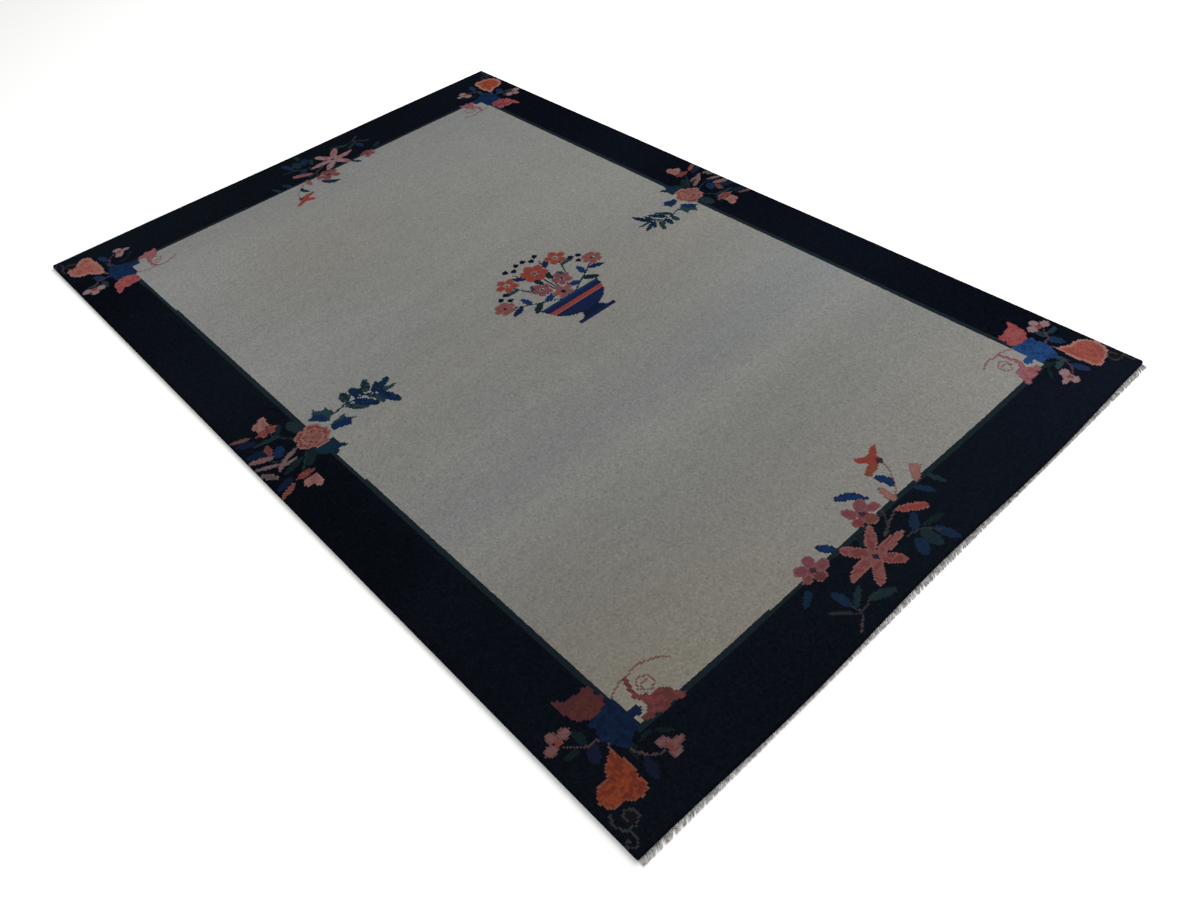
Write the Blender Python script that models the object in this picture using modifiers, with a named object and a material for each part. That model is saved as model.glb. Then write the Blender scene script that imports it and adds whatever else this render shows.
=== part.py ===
"""A hand-knotted wool rug, laid flat, with a short cotton fringe at each end.

The rug is one knotted slab. At each short end its cotton warps come out from under the pile
as a narrow web, and past the web they stand apart as a fringe that is trimmed straight.

Frame: X across the rug, Y along it, Z up, in metres. The origin is on the floor under the
middle of the rug. The near end is at -Y.
"""

import math

import bmesh
import bpy

# The knotted slab. The woven ground and the wool pile are one thickness.
PILE_WIDTH = 1.575
PILE_LENGTH = 2.413
THICKNESS = 0.011
UNEVENNESS = 0.0006
RIM_ROUND = 0.004
RIM_STEPS = 3
CELLS_ACROSS = 24
CELLS_ALONG = 20

# Each short end bows out twice between its middle and its corners, the near end much more.
NEAR, FAR = -1, 1
END_BOW = {NEAR: 0.0038, FAR: 0.0008}
BOWS = 2
BOW_FADE = 6

# The swell of the pile: the length of each wave across and along, and its share of the height.
SWELLS = (
    {"across": 0.93, "along": 1.37, "share": 0.6, "phase": 0.0},
    {"across": -1.90, "along": 0.71, "share": 0.4, "phase": 0.8},
)

# The fringe. Its tips are cut to one straight line, give or take the ragged share.
FRINGE_REACH = 0.0078
FRINGE_RAGGED = 0.0010
FRINGE_SET_BACK = 0.003
WEB_WIDTH = 0.0015
COTTON_THICKNESS = 0.0022
STRANDS = 150
ROOT_SHARE = 0.58
TIP_SHARE = 0.46
LEAN = 0.0022
STRANDS_PER_LEAN = 17

# Clearance between pieces that lie against each other.
GAP = 0.0003

WOOL_GREY_BEIGE = "#87837c"
COTTON_NATURAL = "#b5b3ad"


def clear_scene():
    for obj in list(bpy.data.objects):
        bpy.data.objects.remove(obj, do_unlink=True)


def linear(hex_colour):
    """Linear red, green, blue and alpha of an sRGB hex colour."""
    channels = [int(hex_colour[i : i + 2], 16) / 255 for i in (1, 3, 5)]
    return [c / 12.92 if c <= 0.04045 else ((c + 0.055) / 1.055) ** 2.4 for c in channels] + [1.0]


def material(name, hex_colour, roughness):
    made = bpy.data.materials.new(name)
    made.use_nodes = True
    shader = made.node_tree.nodes["Principled BSDF"]
    shader.inputs["Base Color"].default_value = linear(hex_colour)
    shader.inputs["Roughness"].default_value = roughness
    shader.inputs["Metallic"].default_value = 0.0
    return made


def add_to_rug(name, data, rug):
    obj = bpy.data.objects.new(name, data)
    rug.users_collection[0].objects.link(obj)
    obj.parent = rug
    return obj


def column_bow(column, end):
    """How far the end of one of the slab's grid columns stands out from the mean line."""
    return -END_BOW[end] * math.cos(2 * math.pi * BOWS * column / CELLS_ACROSS)


def end_bow(x, end):
    """The same at any x across the rug, as the slab's edge runs straight between columns."""
    place = (x / PILE_WIDTH + 0.5) * CELLS_ACROSS
    column = min(max(math.floor(place), 0), CELLS_ACROSS - 1)
    share = place - column
    return (1 - share) * column_bow(column, end) + share * column_bow(column + 1, end)


def swell(x, y):
    """The low waves of the pile, which was clipped by hand and has been walked on."""
    waves = (
        wave["share"] * math.sin(2 * math.pi * (x / wave["across"] + y / wave["along"]) + wave["phase"])
        for wave in SWELLS
    )
    return UNEVENNESS * sum(waves)


def knotted_slab(rug):
    """A grid for the pile, its rim drawn down to the floor, and one flat back."""
    bm = bmesh.new()
    weight = bm.edges.layers.float.new("bevel_weight_edge")
    bmesh.ops.create_grid(bm, x_segments=CELLS_ACROSS, y_segments=CELLS_ALONG, size=0.5)
    bmesh.ops.scale(bm, vec=(PILE_WIDTH, PILE_LENGTH, 1), verts=bm.verts)
    for vertex in bm.verts:
        x, y, _ = vertex.co
        end = FAR if y > 0 else NEAR
        fade = (abs(y) / (PILE_LENGTH / 2)) ** BOW_FADE
        vertex.co = (x, y + end * fade * end_bow(x, end), THICKNESS + swell(x, y))

    rim = [edge for edge in bm.edges if edge.is_boundary]
    corners = [vertex for vertex in bm.verts if len(vertex.link_edges) == 2]
    drawn = bmesh.ops.extrude_edge_only(bm, edges=rim)["geom"]
    for vertex in (item for item in drawn if isinstance(item, bmesh.types.BMVert)):
        vertex.co.z = 0
    foot = [edge for edge in bm.edges if edge.is_boundary]
    bmesh.ops.contextual_create(bm, geom=foot)
    bmesh.ops.recalc_face_normals(bm, faces=bm.faces)

    uprights = [edge for edge in drawn if isinstance(edge, bmesh.types.BMEdge) and edge not in foot]
    at_corners = [edge for edge in uprights if any(vertex in corners for vertex in edge.verts)]
    for edge in rim + at_corners:
        edge[weight] = 1.0

    mesh = bpy.data.meshes.new("knotted_slab")
    bm.to_mesh(mesh)
    bm.free()
    mesh.shade_smooth()
    mesh.set_sharp_from_angle(angle=math.radians(40))
    mesh.materials.append(material("grey-beige wool pile", WOOL_GREY_BEIGE, 0.95))
    slab = add_to_rug("knotted_slab", mesh, rug)
    rounding = slab.modifiers.new("clipped rim", "BEVEL")
    rounding.limit_method = "WEIGHT"
    rounding.width = RIM_ROUND
    rounding.segments = RIM_STEPS


def strand_outline(i, end):
    """The four corners of strand i, root, tip, tip and root, leaning as its bundle does."""
    run = PILE_WIDTH - 2 * FRINGE_SET_BACK
    pitch = run / STRANDS
    middle = -run / 2 + (i + 0.5) * pitch
    inward = math.sin(math.pi * (i + 0.5) / STRANDS)
    lean = LEAN * inward * math.sin(2 * math.pi * i / STRANDS_PER_LEAN + 0.7 * end * math.sin(0.11 * i))
    tip = PILE_LENGTH / 2 + FRINGE_REACH - FRINGE_RAGGED * (0.5 - 0.5 * math.cos(2.4 * i))
    corners = []
    for side in (-1, 1):
        root_x = middle + side * ROOT_SHARE * pitch / 2
        root_y = PILE_LENGTH / 2 + end_bow(root_x, end) + GAP + WEB_WIDTH
        tip_x = middle + lean + side * TIP_SHARE * pitch / 2
        corners.append([(root_x, end * root_y), (tip_x, end * tip)])
    return corners[0] + corners[1][::-1]


def fringe_outline(end):
    """The comb of one end: along the tips of all its strands, then back along the slab's edge."""
    half_run = PILE_WIDTH / 2 - FRINGE_SET_BACK
    column_pitch = PILE_WIDTH / CELLS_ACROSS
    seam = [-half_run]
    seam += [-PILE_WIDTH / 2 + column * column_pitch for column in range(1, CELLS_ACROSS)]
    seam += [half_run]
    inner = [(x, end * (PILE_LENGTH / 2 + end_bow(x, end) + GAP)) for x in seam]
    outer_ends = [(x, y + end * WEB_WIDTH) for x, y in (inner[0], inner[-1])]
    strands = [point for i in range(STRANDS) for point in strand_outline(i, end)]
    return [outer_ends[0]] + strands + [outer_ends[1]] + inner[::-1]


def fringe(name, end, cotton, rug):
    outline = fringe_outline(end)
    curve = bpy.data.curves.new(name, "CURVE")
    curve.dimensions = "2D"
    curve.fill_mode = "BOTH"
    curve.extrude = COTTON_THICKNESS / 2
    spline = curve.splines.new("POLY")
    spline.points.add(len(outline) - 1)
    for point, (x, y) in zip(spline.points, outline):
        point.co = (x, y, 0, 1)
    spline.use_cyclic_u = True
    curve.materials.append(cotton)
    obj = add_to_rug(name, curve, rug)
    obj.location.z = COTTON_THICKNESS / 2


def main():
    clear_scene()
    collection = bpy.data.collections.new("rug")
    bpy.context.scene.collection.children.link(collection)
    rug = bpy.data.objects.new("rug", None)
    collection.objects.link(rug)

    knotted_slab(rug)
    cotton = material("undyed cotton warp", COTTON_NATURAL, 0.85)
    fringe("fringe_near", NEAR, cotton, rug)
    fringe("fringe_far", FAR, cotton, rug)


main()
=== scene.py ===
import math

import bmesh
import bpy
import numpy as np
from mathutils import Euler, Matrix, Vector


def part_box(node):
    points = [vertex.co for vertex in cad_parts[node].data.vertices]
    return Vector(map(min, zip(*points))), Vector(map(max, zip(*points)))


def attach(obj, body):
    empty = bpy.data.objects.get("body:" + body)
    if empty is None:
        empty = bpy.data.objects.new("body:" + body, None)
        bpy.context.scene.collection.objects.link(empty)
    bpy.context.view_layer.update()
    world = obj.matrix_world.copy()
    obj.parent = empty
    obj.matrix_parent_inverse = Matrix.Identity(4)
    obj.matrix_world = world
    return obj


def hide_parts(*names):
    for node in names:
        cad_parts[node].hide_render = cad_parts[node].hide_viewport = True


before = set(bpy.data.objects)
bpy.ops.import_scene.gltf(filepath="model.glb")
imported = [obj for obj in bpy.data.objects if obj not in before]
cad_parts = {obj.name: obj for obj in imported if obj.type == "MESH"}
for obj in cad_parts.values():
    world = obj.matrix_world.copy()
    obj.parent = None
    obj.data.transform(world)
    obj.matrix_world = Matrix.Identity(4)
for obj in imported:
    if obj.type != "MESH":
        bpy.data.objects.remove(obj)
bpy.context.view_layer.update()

# The knotted pile.
# Wool tufts are knotted row by row on cotton warps and clipped level. One knot is one step
# of the design, so each is charted here with its own wool, as on a weaver's squared paper.
SLAB_LOW, SLAB_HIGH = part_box("knotted_slab")
NEAR, FAR = -1, 1
END_BOW = {NEAR: 0.0038, FAR: 0.0008}
BOWS = 2
BOW_FADE = 6
PILE_WIDTH = SLAB_HIGH[0] - SLAB_LOW[0]
PILE_LENGTH = SLAB_HIGH[1] - SLAB_LOW[1] - END_BOW[NEAR] - END_BOW[FAR]
PILE_HEIGHT = 0.0110

KNOT = 0.0041
COLUMNS = round(PILE_WIDTH / KNOT)
ROWS = round(PILE_LENGTH / KNOT)
KNOT_X = ((np.arange(COLUMNS) + 0.5) / COLUMNS - 0.5) * PILE_WIDTH
KNOT_Y = ((np.arange(ROWS) + 0.5) / ROWS - 0.5) * PILE_LENGTH

# Where the field ends inside the border at each side, and how far each of those lines is off
# square: the weaver counted knots by eye, so the left and near borders change along their run.
FIELD_LEFT, LEFT_SLOPE = -0.6305, -0.0045
FIELD_RIGHT = 0.6375
FIELD_NEAR, NEAR_SLOPE = -1.0460, -0.0045
FIELD_FAR, FAR_SLOPE = 1.0240, -0.0040
GUARD_WIDTH = 0.0115

# The dyed wools, as clipped pile looks in even light.
WOOLS = {
    "navy": "#0d1118",
    "guard teal": "#172126",
    "oatmeal": "#797976",
    "madder orange": "#753724",
    "light madder": "#843d29",
    "faded madder": "#82453b",
    "pink madder": "#87534d",
    "faded orange": "#783d37",
    "faded rim": "#865f59",
    "burnt orange": "#632d23",
    "orange rim": "#6b4032",
    "salmon": "#4d2a25",
    "faded salmon": "#48282c",
    "pale salmon": "#7c4441",
    "pale brick": "#77393d",
    "dull brick": "#6a3037",
    "rose": "#643535",
    "deep rose": "#54302f",
    "pale rose": "#7a4d53",
    "pale deep rose": "#6f4549",
    "blossom": "#643b40",
    "blossom pale": "#6b464a",
    "coral": "#6b423f",
    "coral pale": "#6f4945",
    "shell": "#664848",
    "shell shade": "#563c3c",
    "pale shell": "#786165",
    "pale shell rim": "#70595c",
    "petal grey": "#5d4e4f",
    "petal shade": "#4b4041",
    "tulip shade": "#6e4a49",
    "tulip": "#7a5651",
    "peony": "#6d453e",
    "peony rim": "#724e4e",
    "peony tan": "#6d5344",
    "peony shade": "#5e3a34",
    "brick": "#76352f",
    "burnt brick": "#6c3a30",
    "tendril rose": "#6a4f4c",
    "tan": "#5c3a33",
    "indigo": "#151e3b",
    "indigo shade": "#141a2b",
    "deep indigo": "#101b2f",
    "rock blue": "#131f37",
    "bright rock": "#1d3863",
    "bright indigo": "#182e54",
    "far rock": "#102542",
    "leaf blue": "#12243f",
    "blue": "#152b4d",
    "teal": "#142226",
    "teal blue": "#0f2732",
    "moss": "#223437",
    "moss shade": "#131e21",
    "slate blue": "#152438",
    "deep slate": "#0f1b2d",
    "light slate": "#1c2b33",
    "light indigo": "#192741",
    "sprig indigo": "#0e1a33",
    "slate green": "#19272c",
    "stem grey": "#292a2e",
    "stem pink": "#3e3234",
    "olive shade": "#151613",
    "spiral grey": "#2d2d30",
    "calyx plum": "#2c262d",
}
WOOL_NAMES = list(WOOLS)


def wool_number(name):
    return WOOL_NAMES.index(name)


def smooth_noise(seed, cells_across, cells_along):
    """A slow random field over the knots, from -1 to 1, the same each time."""
    drawn = np.random.default_rng(seed).uniform(-1, 1, (cells_along + 2, cells_across + 2))
    x = np.linspace(0, cells_across, COLUMNS)
    y = np.linspace(0, cells_along, ROWS)
    col, row = x.astype(int), y.astype(int)
    fx, fy = x - col, y - row
    fx, fy = (fx * fx * (3 - 2 * fx))[None, :], (fy * fy * (3 - 2 * fy))[:, None]
    low = drawn[row][:, col] * (1 - fx) + drawn[row][:, col + 1] * fx
    high = drawn[row + 1][:, col] * (1 - fx) + drawn[row + 1][:, col + 1] * fx
    return low * (1 - fy) + high * fy


chart = np.full((ROWS, COLUMNS), wool_number("navy"))
knot_x, knot_y = np.meshgrid(KNOT_X, KNOT_Y)
inset = np.minimum.reduce([
    knot_x - FIELD_LEFT - LEFT_SLOPE * knot_y,
    FIELD_RIGHT - knot_x,
    knot_y - FIELD_NEAR - NEAR_SLOPE * knot_x,
    FIELD_FAR + FAR_SLOPE * knot_x - knot_y,
])
chart[inset > -GUARD_WIDTH] = wool_number("guard teal")
chart[inset > 0] = wool_number("oatmeal")

# A spray is charted in millimetres, for up to SPRAY_REACH metres round its starting point. Petal
# outlines and stems are about one knot wide. A mottle tells which of two mixed wools is used.
OUTLINE = 3.6
HAIRLINE = 4.3
STEM_STEPS = 8
SPRAY_REACH = 0.27
MOTTLE = smooth_noise(5, 190, 290)
MIXED_ABOVE = 0.12


def about(at, angle, across, along=None):
    """A point of the ring, round or oval, about a middle."""
    return (at[0] + across * math.cos(angle), at[1] + (along or across) * math.sin(angle))


class Spray:
    """The knots round one spray, in millimetres from the spray's own starting point.

    u runs in from the long side and v in from the short end, whichever way the spray is
    turned, so a spray that is charted once can be woven again mirrored or turned round.
    """

    def __init__(self, at, toward, size=1.0):
        cols = slice(*np.searchsorted(KNOT_X, (at[0] - SPRAY_REACH, at[0] + SPRAY_REACH)))
        rows = slice(*np.searchsorted(KNOT_Y, (at[1] - SPRAY_REACH, at[1] + SPRAY_REACH)))
        across, along = np.meshgrid(KNOT_X[cols], KNOT_Y[rows])
        self.u = (across - at[0]) * 1000 * toward[0] / size
        self.v = (along - at[1]) * 1000 * toward[1] / size
        self.chart = chart[rows, cols]
        self.mottle = MOTTLE[rows, cols]

    def round(self, at, radius, flat=1.0, turn=0.0):
        """Depth inside an ellipse whose second radius is flat times the first."""
        du, dv = self.u - at[0], self.v - at[1]
        c, s = math.cos(math.radians(turn)), math.sin(math.radians(turn))
        first, second = du * c + dv * s, (dv * c - du * s) / flat
        return (radius - np.hypot(first, second)) * min(flat, 1.0)

    def blade(self, base, tip, width, bend=0.0, belly=1.0, square=2.0):
        """Depth inside a leaf or petal that runs from its base to its tip."""
        run = np.subtract(tip, base)
        length = math.hypot(*run)
        du, dv = self.u - base[0], self.v - base[1]
        along = (du * run[0] + dv * run[1]) / length**2
        share = np.clip(along, 0, 1)
        across = (dv * run[0] - du * run[1]) / length - bend * 4 * share * (1 - share)
        swelling = np.clip(1 - np.abs(2 * share**belly - 1) ** square, 0, 1) ** (1 / square)
        depth = width / 2 * swelling - np.abs(across)
        ends = np.minimum(along, 1 - along) * length
        return np.where(ends < 0, ends, depth)

    def off(self, a, b):
        """How far each knot lies from the straight run between two points."""
        run = np.subtract(b, a)
        du, dv = self.u - a[0], self.v - a[1]
        share = np.clip((du * run[0] + dv * run[1]) / max(run @ run, 1e-9), 0, 1)
        return np.hypot(du - share * run[0], dv - share * run[1])

    def patch(self, corners):
        """Depth inside a straight-sided patch."""
        sides = list(zip(corners, corners[1:] + corners[:1]))
        inside = np.zeros(self.u.shape, bool)
        for (a_u, a_v), (b_u, b_v) in sides:
            if a_v != b_v:
                crosses = (self.v > min(a_v, b_v)) & (self.v <= max(a_v, b_v))
                inside ^= crosses & (self.u - a_u < (self.v - a_v) / (b_v - a_v) * (b_u - a_u))
        nearest = np.minimum.reduce([self.off(a, b) for a, b in sides])
        return np.where(inside, nearest, -nearest)

    def line(self, points, width=HAIRLINE):
        """Depth inside a stem that runs smoothly through a few points."""
        route = np.array(points, float)
        padded = np.vstack([2 * route[0] - route[1], route, 2 * route[-1] - route[-2]])
        steps = []
        for p0, p1, p2, p3 in zip(padded, padded[1:], padded[2:], padded[3:]):
            for t in np.arange(0, 1, 1 / STEM_STEPS):
                bend = 2 * p0 - 5 * p1 + 4 * p2 - p3
                twist = 3 * (p1 - p2) + p3 - p0
                steps.append(0.5 * (2 * p1 + (p2 - p0) * t + bend * t**2 + twist * t**3))
        steps.append(route[-1])
        return width / 2 - np.minimum.reduce([self.off(a, b) for a, b in zip(steps, steps[1:])])

    def knot(self, depth, wool, edge=None, mixed=None, outline=OUTLINE):
        """Knots the wool wherever the depth is positive, with another wool at its edge."""
        inside = depth > 0
        self.chart[inside] = wool_number(wool)
        if mixed:
            self.chart[inside & (self.mottle > MIXED_ABOVE)] = wool_number(mixed)
        if edge:
            self.chart[inside & (depth < outline)] = wool_number(edge)

    def leaves(self, rows):
        """Leaves that rows give as base, tip, width and wool."""
        for base, tip, width, wool in rows:
            self.knot(self.blade(base, tip, width, belly=0.9), wool)

    def stem(self, points, wool, width=HAIRLINE):
        self.knot(self.line(points, width), wool)

    def blossom(self, at, reach, wool, edge, eye, petals=5, turn=90.0):
        """Round petals that touch, in a ring about an eye."""
        for i in range(petals):
            angle = math.radians(turn + 360 * i / petals)
            petal = self.round(about(at, angle, 0.62 * reach), 0.42 * reach, 0.88, math.degrees(angle))
            self.knot(petal, wool, edge, outline=2.4)
        self.knot(self.round(at, 0.17 * reach), eye)

    def hung(self, points, shift, petals, eye, eye_radius, wools):
        """A small blossom on a stem. The stem's first point stays when the blossom is shifted."""
        shares = np.linspace(0, 1, len(points))
        self.stem([(u + s * shift[0], v + s * shift[1]) for (u, v), s in zip(points, shares)], "stem pink")
        for (u, v), radius, flat, turn in petals:
            petal = self.round((u + shift[0], v + shift[1]), radius, flat, turn)
            self.knot(petal, wools[0], wools[1], outline=2.4)
        self.knot(self.round((eye[0] + shift[0], eye[1] + shift[1]), eye_radius), "burnt brick")


NEAR_LEFT_WOOLS = {
    "rock": ("rock blue", "deep indigo"),
    "fan": ("salmon", "faded salmon"),
    "leaf": ("rose", "deep rose"),
    "blossom": ("shell", "shell shade"),
    "gourd": ("madder orange", "burnt orange", "orange rim"),
    "small leaf": ("moss shade", "indigo shade"),
}
NEAR_RIGHT_WOOLS = {
    "rock": ("bright rock", "bright indigo"),
    "fan": ("pale salmon", "pale brick"),
    "leaf": ("pale rose", "pale deep rose"),
    "blossom": ("pale shell", "pale shell rim"),
    "gourd": ("faded madder", "faded orange", "faded rim"),
    "small leaf": ("light slate", "light indigo"),
}
FAR_LEFT_WOOLS = {
    **NEAR_RIGHT_WOOLS,
    "rock": ("far rock", "rock blue"),
    "fan": ("pale brick", "pale salmon"),
    "gourd": ("pink madder", "faded madder", "faded rim"),
}
FAR_RIGHT_WOOLS = {
    **FAR_LEFT_WOOLS,
    "fan": ("dull brick", "pale salmon"),
    "gourd": ("light madder", "madder orange", "faded rim"),
}


def bent_blossoms(spray, upper, lower, wools):
    """Two small blossoms on bent stems, each shifted as its corner has it."""
    spray.hung(
        [(-58, 32), (-76, 36), (-86, 38), (-95, 45), (-104, 54), (-113, 64)],
        upper,
        (((-119, 92), 12, 0.90, 110), ((-98, 83), 13, 0.86, 30), ((-134, 74), 13.5, 0.80, 0)),
        (-115, 77), 8, wools["blossom"],
    )
    spray.hung(
        [(-38, -14), (-36, -25), (-30, -34), (-26, -43), (-17, -52), (-8, -58), (2, -60)],
        lower,
        (
            ((9, -46), 13.0, 0.85, -20),
            ((32, -61), 11.5, 0.62, 0),
            ((14, -73), 12.5, 0.80, 0),
            ((17, -60), 12, 1, 0),
        ),
        (13, -61), 6.5, wools["blossom"],
    )


def blue_rock(spray, wools):
    """The rock on the field's corner, of two mixed blues, with a knob of the lighter one."""
    rock = spray.patch([
        (-62, 29), (-56, 48), (-58, 66), (-36, 76), (5, 78), (5, 4), (-14, -1), (-28, -8), (-36, -18),
        (-46, -6),
    ])
    rock_wool, rock_shade = wools["rock"]
    spray.knot(rock, rock_wool, mixed=rock_shade)
    knob = spray.patch([(2, 21), (2, 37), (14, 36), (18, 40), (28, 37), (30, 24), (22, 18)])
    spray.knot(knob, rock_wool)


def fan_flower(spray, fan, wools):
    """A scalloped flower, drawn out to a share of its full length."""
    outline = [
        (-77, 144), (-74, 118), (-73, 100), (-66, 84), (-50, 72), (-34, 68), (-12, 76), (-3, 86),
        (-3, 96), (-11, 103), (-4, 110), (-4, 122), (-18, 127), (-28, 123), (-40, 130), (-52, 126),
        (-60, 130), (-67, 141),
    ]
    fan_wool, fan_shade = wools["fan"]
    opened = spray.patch([(u, 68 + (v - 68) * fan) for u, v in outline])
    spray.knot(opened, fan_wool, fan_shade, mixed=fan_shade)


def curled_leaf(spray, leaf, wools):
    """A leaf that curls over on the field, from its own place and with its own share of width."""
    leaf_start, leaf_share, leaf_in = leaf

    def in_leaf(points):
        return [(leaf_start + (u - 15) * leaf_share, v + leaf_in) for u, v in points]

    curled = np.maximum.reduce([
        spray.patch(in_leaf([
            (36, 48), (48, 46), (54, 35), (78, 34), (88, 26), (96, 8), (104, -6), (94, -13), (84, -6),
            (72, -4), (58, -9), (48, -6), (40, 2), (30, -3), (17, 2), (15, 14), (32, 14), (40, 24),
        ])),
        spray.line(in_leaf([(42, 40), (38, 56), (42, 70), (49, 88 - leaf_in)]), 9),
        spray.line(in_leaf([(52, 34), (42, 40), (38, 52)]), 12),
    ])
    leaf_wool, leaf_shade = wools["leaf"]
    spray.knot(curled, leaf_wool, leaf_shade, mixed=leaf_shade, outline=2.4)


def ripe_gourd(spray, gourd, wools):
    """A gourd on its stalk, paler at the rim, with a lobe of another wool."""
    outline = [
        (-60, 4), (-74, 0), (-88, -10), (-104, -30), (-120, -28), (-133, -36), (-140, -50), (-138, -64),
        (-128, -76), (-106, -78), (-96, -87), (-80, -93), (-66, -89), (-58, -76), (-62, -63), (-56, -52),
        (-57, -20),
    ]
    length, girth, rim = gourd
    body = np.maximum.reduce([
        spray.patch([(u, v * length if v < 0 else v) for u, v in outline]),
        spray.round((-80, -48 * length), 22),
        spray.round((-99, -50 * length), girth),
    ])
    gourd_wool, gourd_shade, gourd_rim = wools["gourd"]
    spray.knot(body, gourd_wool, gourd_rim, mixed=gourd_shade, outline=rim)
    lobe = spray.round((-120, -54 * length), 22)
    spray.knot(np.minimum(body - rim - 3, lobe), gourd_shade, mixed=gourd_wool)
    spray.stem([(-65, 1), (-62, 8), (-58, 14)], "shell shade")


def corner_scrolls(spray):
    """Two grey scrolls in the very corner, the first round a dull green eye."""
    spray.knot(spray.round((-121, -103), 13), "olive shade")
    spray.stem([
        (-137, -76), (-144, -84), (-146, -96), (-142, -108), (-133, -116), (-120, -118), (-109, -112),
        (-105, -102), (-110, -93), (-119, -89), (-127, -94), (-128, -104),
    ], "spiral grey")
    spray.stem([
        (-142, -112), (-136, -119), (-134, -130), (-138, -141), (-148, -143), (-155, -136), (-152, -128),
        (-146, -131),
    ], "spiral grey")


def corner_spray(at, toward, wools, tendril, upper, lower, fan, leaf, gourd):
    """A blue rock on the field's corner, with a fan flower, a gourd, buds, a leaf and scrolls.

    No two corners were drawn quite alike. The tendril is drawn out to a share of its full reach.
    The upper and lower blossoms are shifted, and the fan is longer or shorter. The leaf starts
    at its own place, with its own share of the width. The gourd has its own length, girth and rim.
    """
    spray = Spray(at, toward)
    moss, indigo = wools["small leaf"]
    spray.leaves((
        ((-98, 42), (-130, 46), 15, moss),
        ((-84, 42), (-86, 78), 17, moss),
        ((-78, 38), (-94, 2), 23, indigo),
        ((-32, -46), (-42, -88), 19, indigo),
        ((-20, -18), (14, -16), 8, "moss shade"),
        ((14, -18), (40, -44), 8, "moss shade"),
        ((-28, 0), (-42, -40), 14, moss),
    ))
    bent_blossoms(spray, upper, lower, wools)
    blue_rock(spray, wools)
    fan_flower(spray, fan, wools)

    tendril_line = [
        (3, 75), (15, 81), (26, 86), (42, 88), (58, 89), (74, 93), (90, 91), (108, 84), (124, 76),
        (135, 66),
    ]
    spray.stem(tendril_line[: round(len(tendril_line) * tendril)], "tendril rose")
    spray.stem([
        (52, 49), (52, 60), (58, 69), (68, 72), (79, 67), (84, 56), (80, 46), (69, 41), (59, 46), (59, 57),
        (68, 62), (76, 59),
    ], "tendril rose", 3.9)

    curled_leaf(spray, leaf, wools)
    ripe_gourd(spray, gourd, wools)
    corner_scrolls(spray)
    return spray


corner_spray(
    (-0.6300, -1.0475), (1, 1), NEAR_LEFT_WOOLS,
    tendril=1.0, upper=(0, 0), lower=(0, 0), fan=1.0, leaf=(15, 1.0, 0), gourd=(1.0, 22, 2.4),
)
near_right = corner_spray(
    (0.6420, -1.0475), (-1, 1), NEAR_RIGHT_WOOLS,
    tendril=0.8, upper=(12, -4), lower=(-6, -5), fan=0.92, leaf=(18, 0.80, -5), gourd=(1.07, 41, 6.5),
)
near_right.leaves([((-30, -27), (4, -32), 15, "moss")])
corner_spray(
    (-0.6330, 1.0475), (1, -1), FAR_LEFT_WOOLS,
    tendril=0.9, upper=(-2, -16), lower=(-3, -7), fan=0.9, leaf=(35, 0.66, 6), gourd=(1.27, 36, 9),
)
corner_spray(
    (0.6380, 1.0430), (-1, -1), FAR_RIGHT_WOOLS,
    tendril=0.8, upper=(4, -17), lower=(-3, 11), fan=1.0, leaf=(25, 0.56, 13), gourd=(1.04, 41, 9),
)


NEAR_END = {
    "lily": ("coral", "coral pale", "rose"),
    "petal reach": 47,
    "trumpet out": 0,
    "long bud": ((56, -20), (114, -60), "brick", "coral pale"),
    "small bud": ("tulip", "shell"),
    "open bud": True,
    "field leaves": ("blue", "indigo", 21, 21),
    "leaves out": 0,
    "outer leaves": (),
    "side blossom": 1.0,
}
FAR_END = {
    "lily": ("pale shell", "pale shell rim", "pale rose"),
    "petal reach": 62,
    "trumpet out": 10,
    "long bud": ((36, -31), (102, -66), "pale deep rose", "petal grey"),
    "small bud": ("shell", "tulip"),
    "open bud": False,
    "field leaves": ("slate blue", "teal blue", 25, 15),
    "leaves out": 17,
    "outer leaves": (
        ((6, -92), (-10, -128), 19, "slate green"),
        ((23, -154), (20, -190), 17, "slate green"),
    ),
    "side blossom": 0.78,
}


def end_leaves(spray, hand):
    """The leaves and bare stems that fill the border round the lily."""
    spray.leaves((
        ((-213, -22), (-248, -43), 15, "slate blue"),
        ((-186, -98), (-189, -56), 21, "slate blue"),
        ((-184, -108), (-140, -82), 14, "slate green"),
        ((-196, -110), (-230, -78), 11, "moss shade"),
        ((-152, -112), (-98, -138), 20, "slate green"),
        ((40, -80), (78, -50), 20, "slate blue"),
        ((134, -12), (156, -48), 16, "slate blue"),
        ((180, -8), (190, -50), 14, "slate green"),
        ((-50, -42), (-47, -6), 22, "moss shade"),
    ))
    for base, tip, width, wool in (
        ((30, -96), (3, -132), 27, "slate blue"),
        ((50, -88), (46, -138), 29, "slate green"),
        ((70, -100), (86, -154), 22, "slate blue"),
        ((62, -84), (114, -95), 15, "moss shade"),
    ):
        shifted = [(u, v - hand["leaves out"]) for u, v in (base, tip)]
        spray.leaves([(*shifted, width, wool)])
    spray.leaves(hand["outer leaves"])
    spray.stem([(-218, -146), (-204, -136), (-190, -128), (-182, -118)], "stem pink")
    spray.stem([(-186, -124), (-187, -110), (-184, -96)], "stem grey")
    spray.stem([(-186, -122), (-160, -118), (-130, -116)], "stem grey")
    spray.stem([(-190, -122), (-210, -98), (-228, -82)], "stem grey")
    spray.stem([(-10, -46), (10, -38), (30, -30), (45, -25), (58, -22)], "stem pink")
    spray.stem([(0, -46), (20, -30), (34, -12), (38, -2)], "stem grey")
    spray.stem([(20, -78), (45, -84), (60, -92), (76, -116)], "stem grey")


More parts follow.
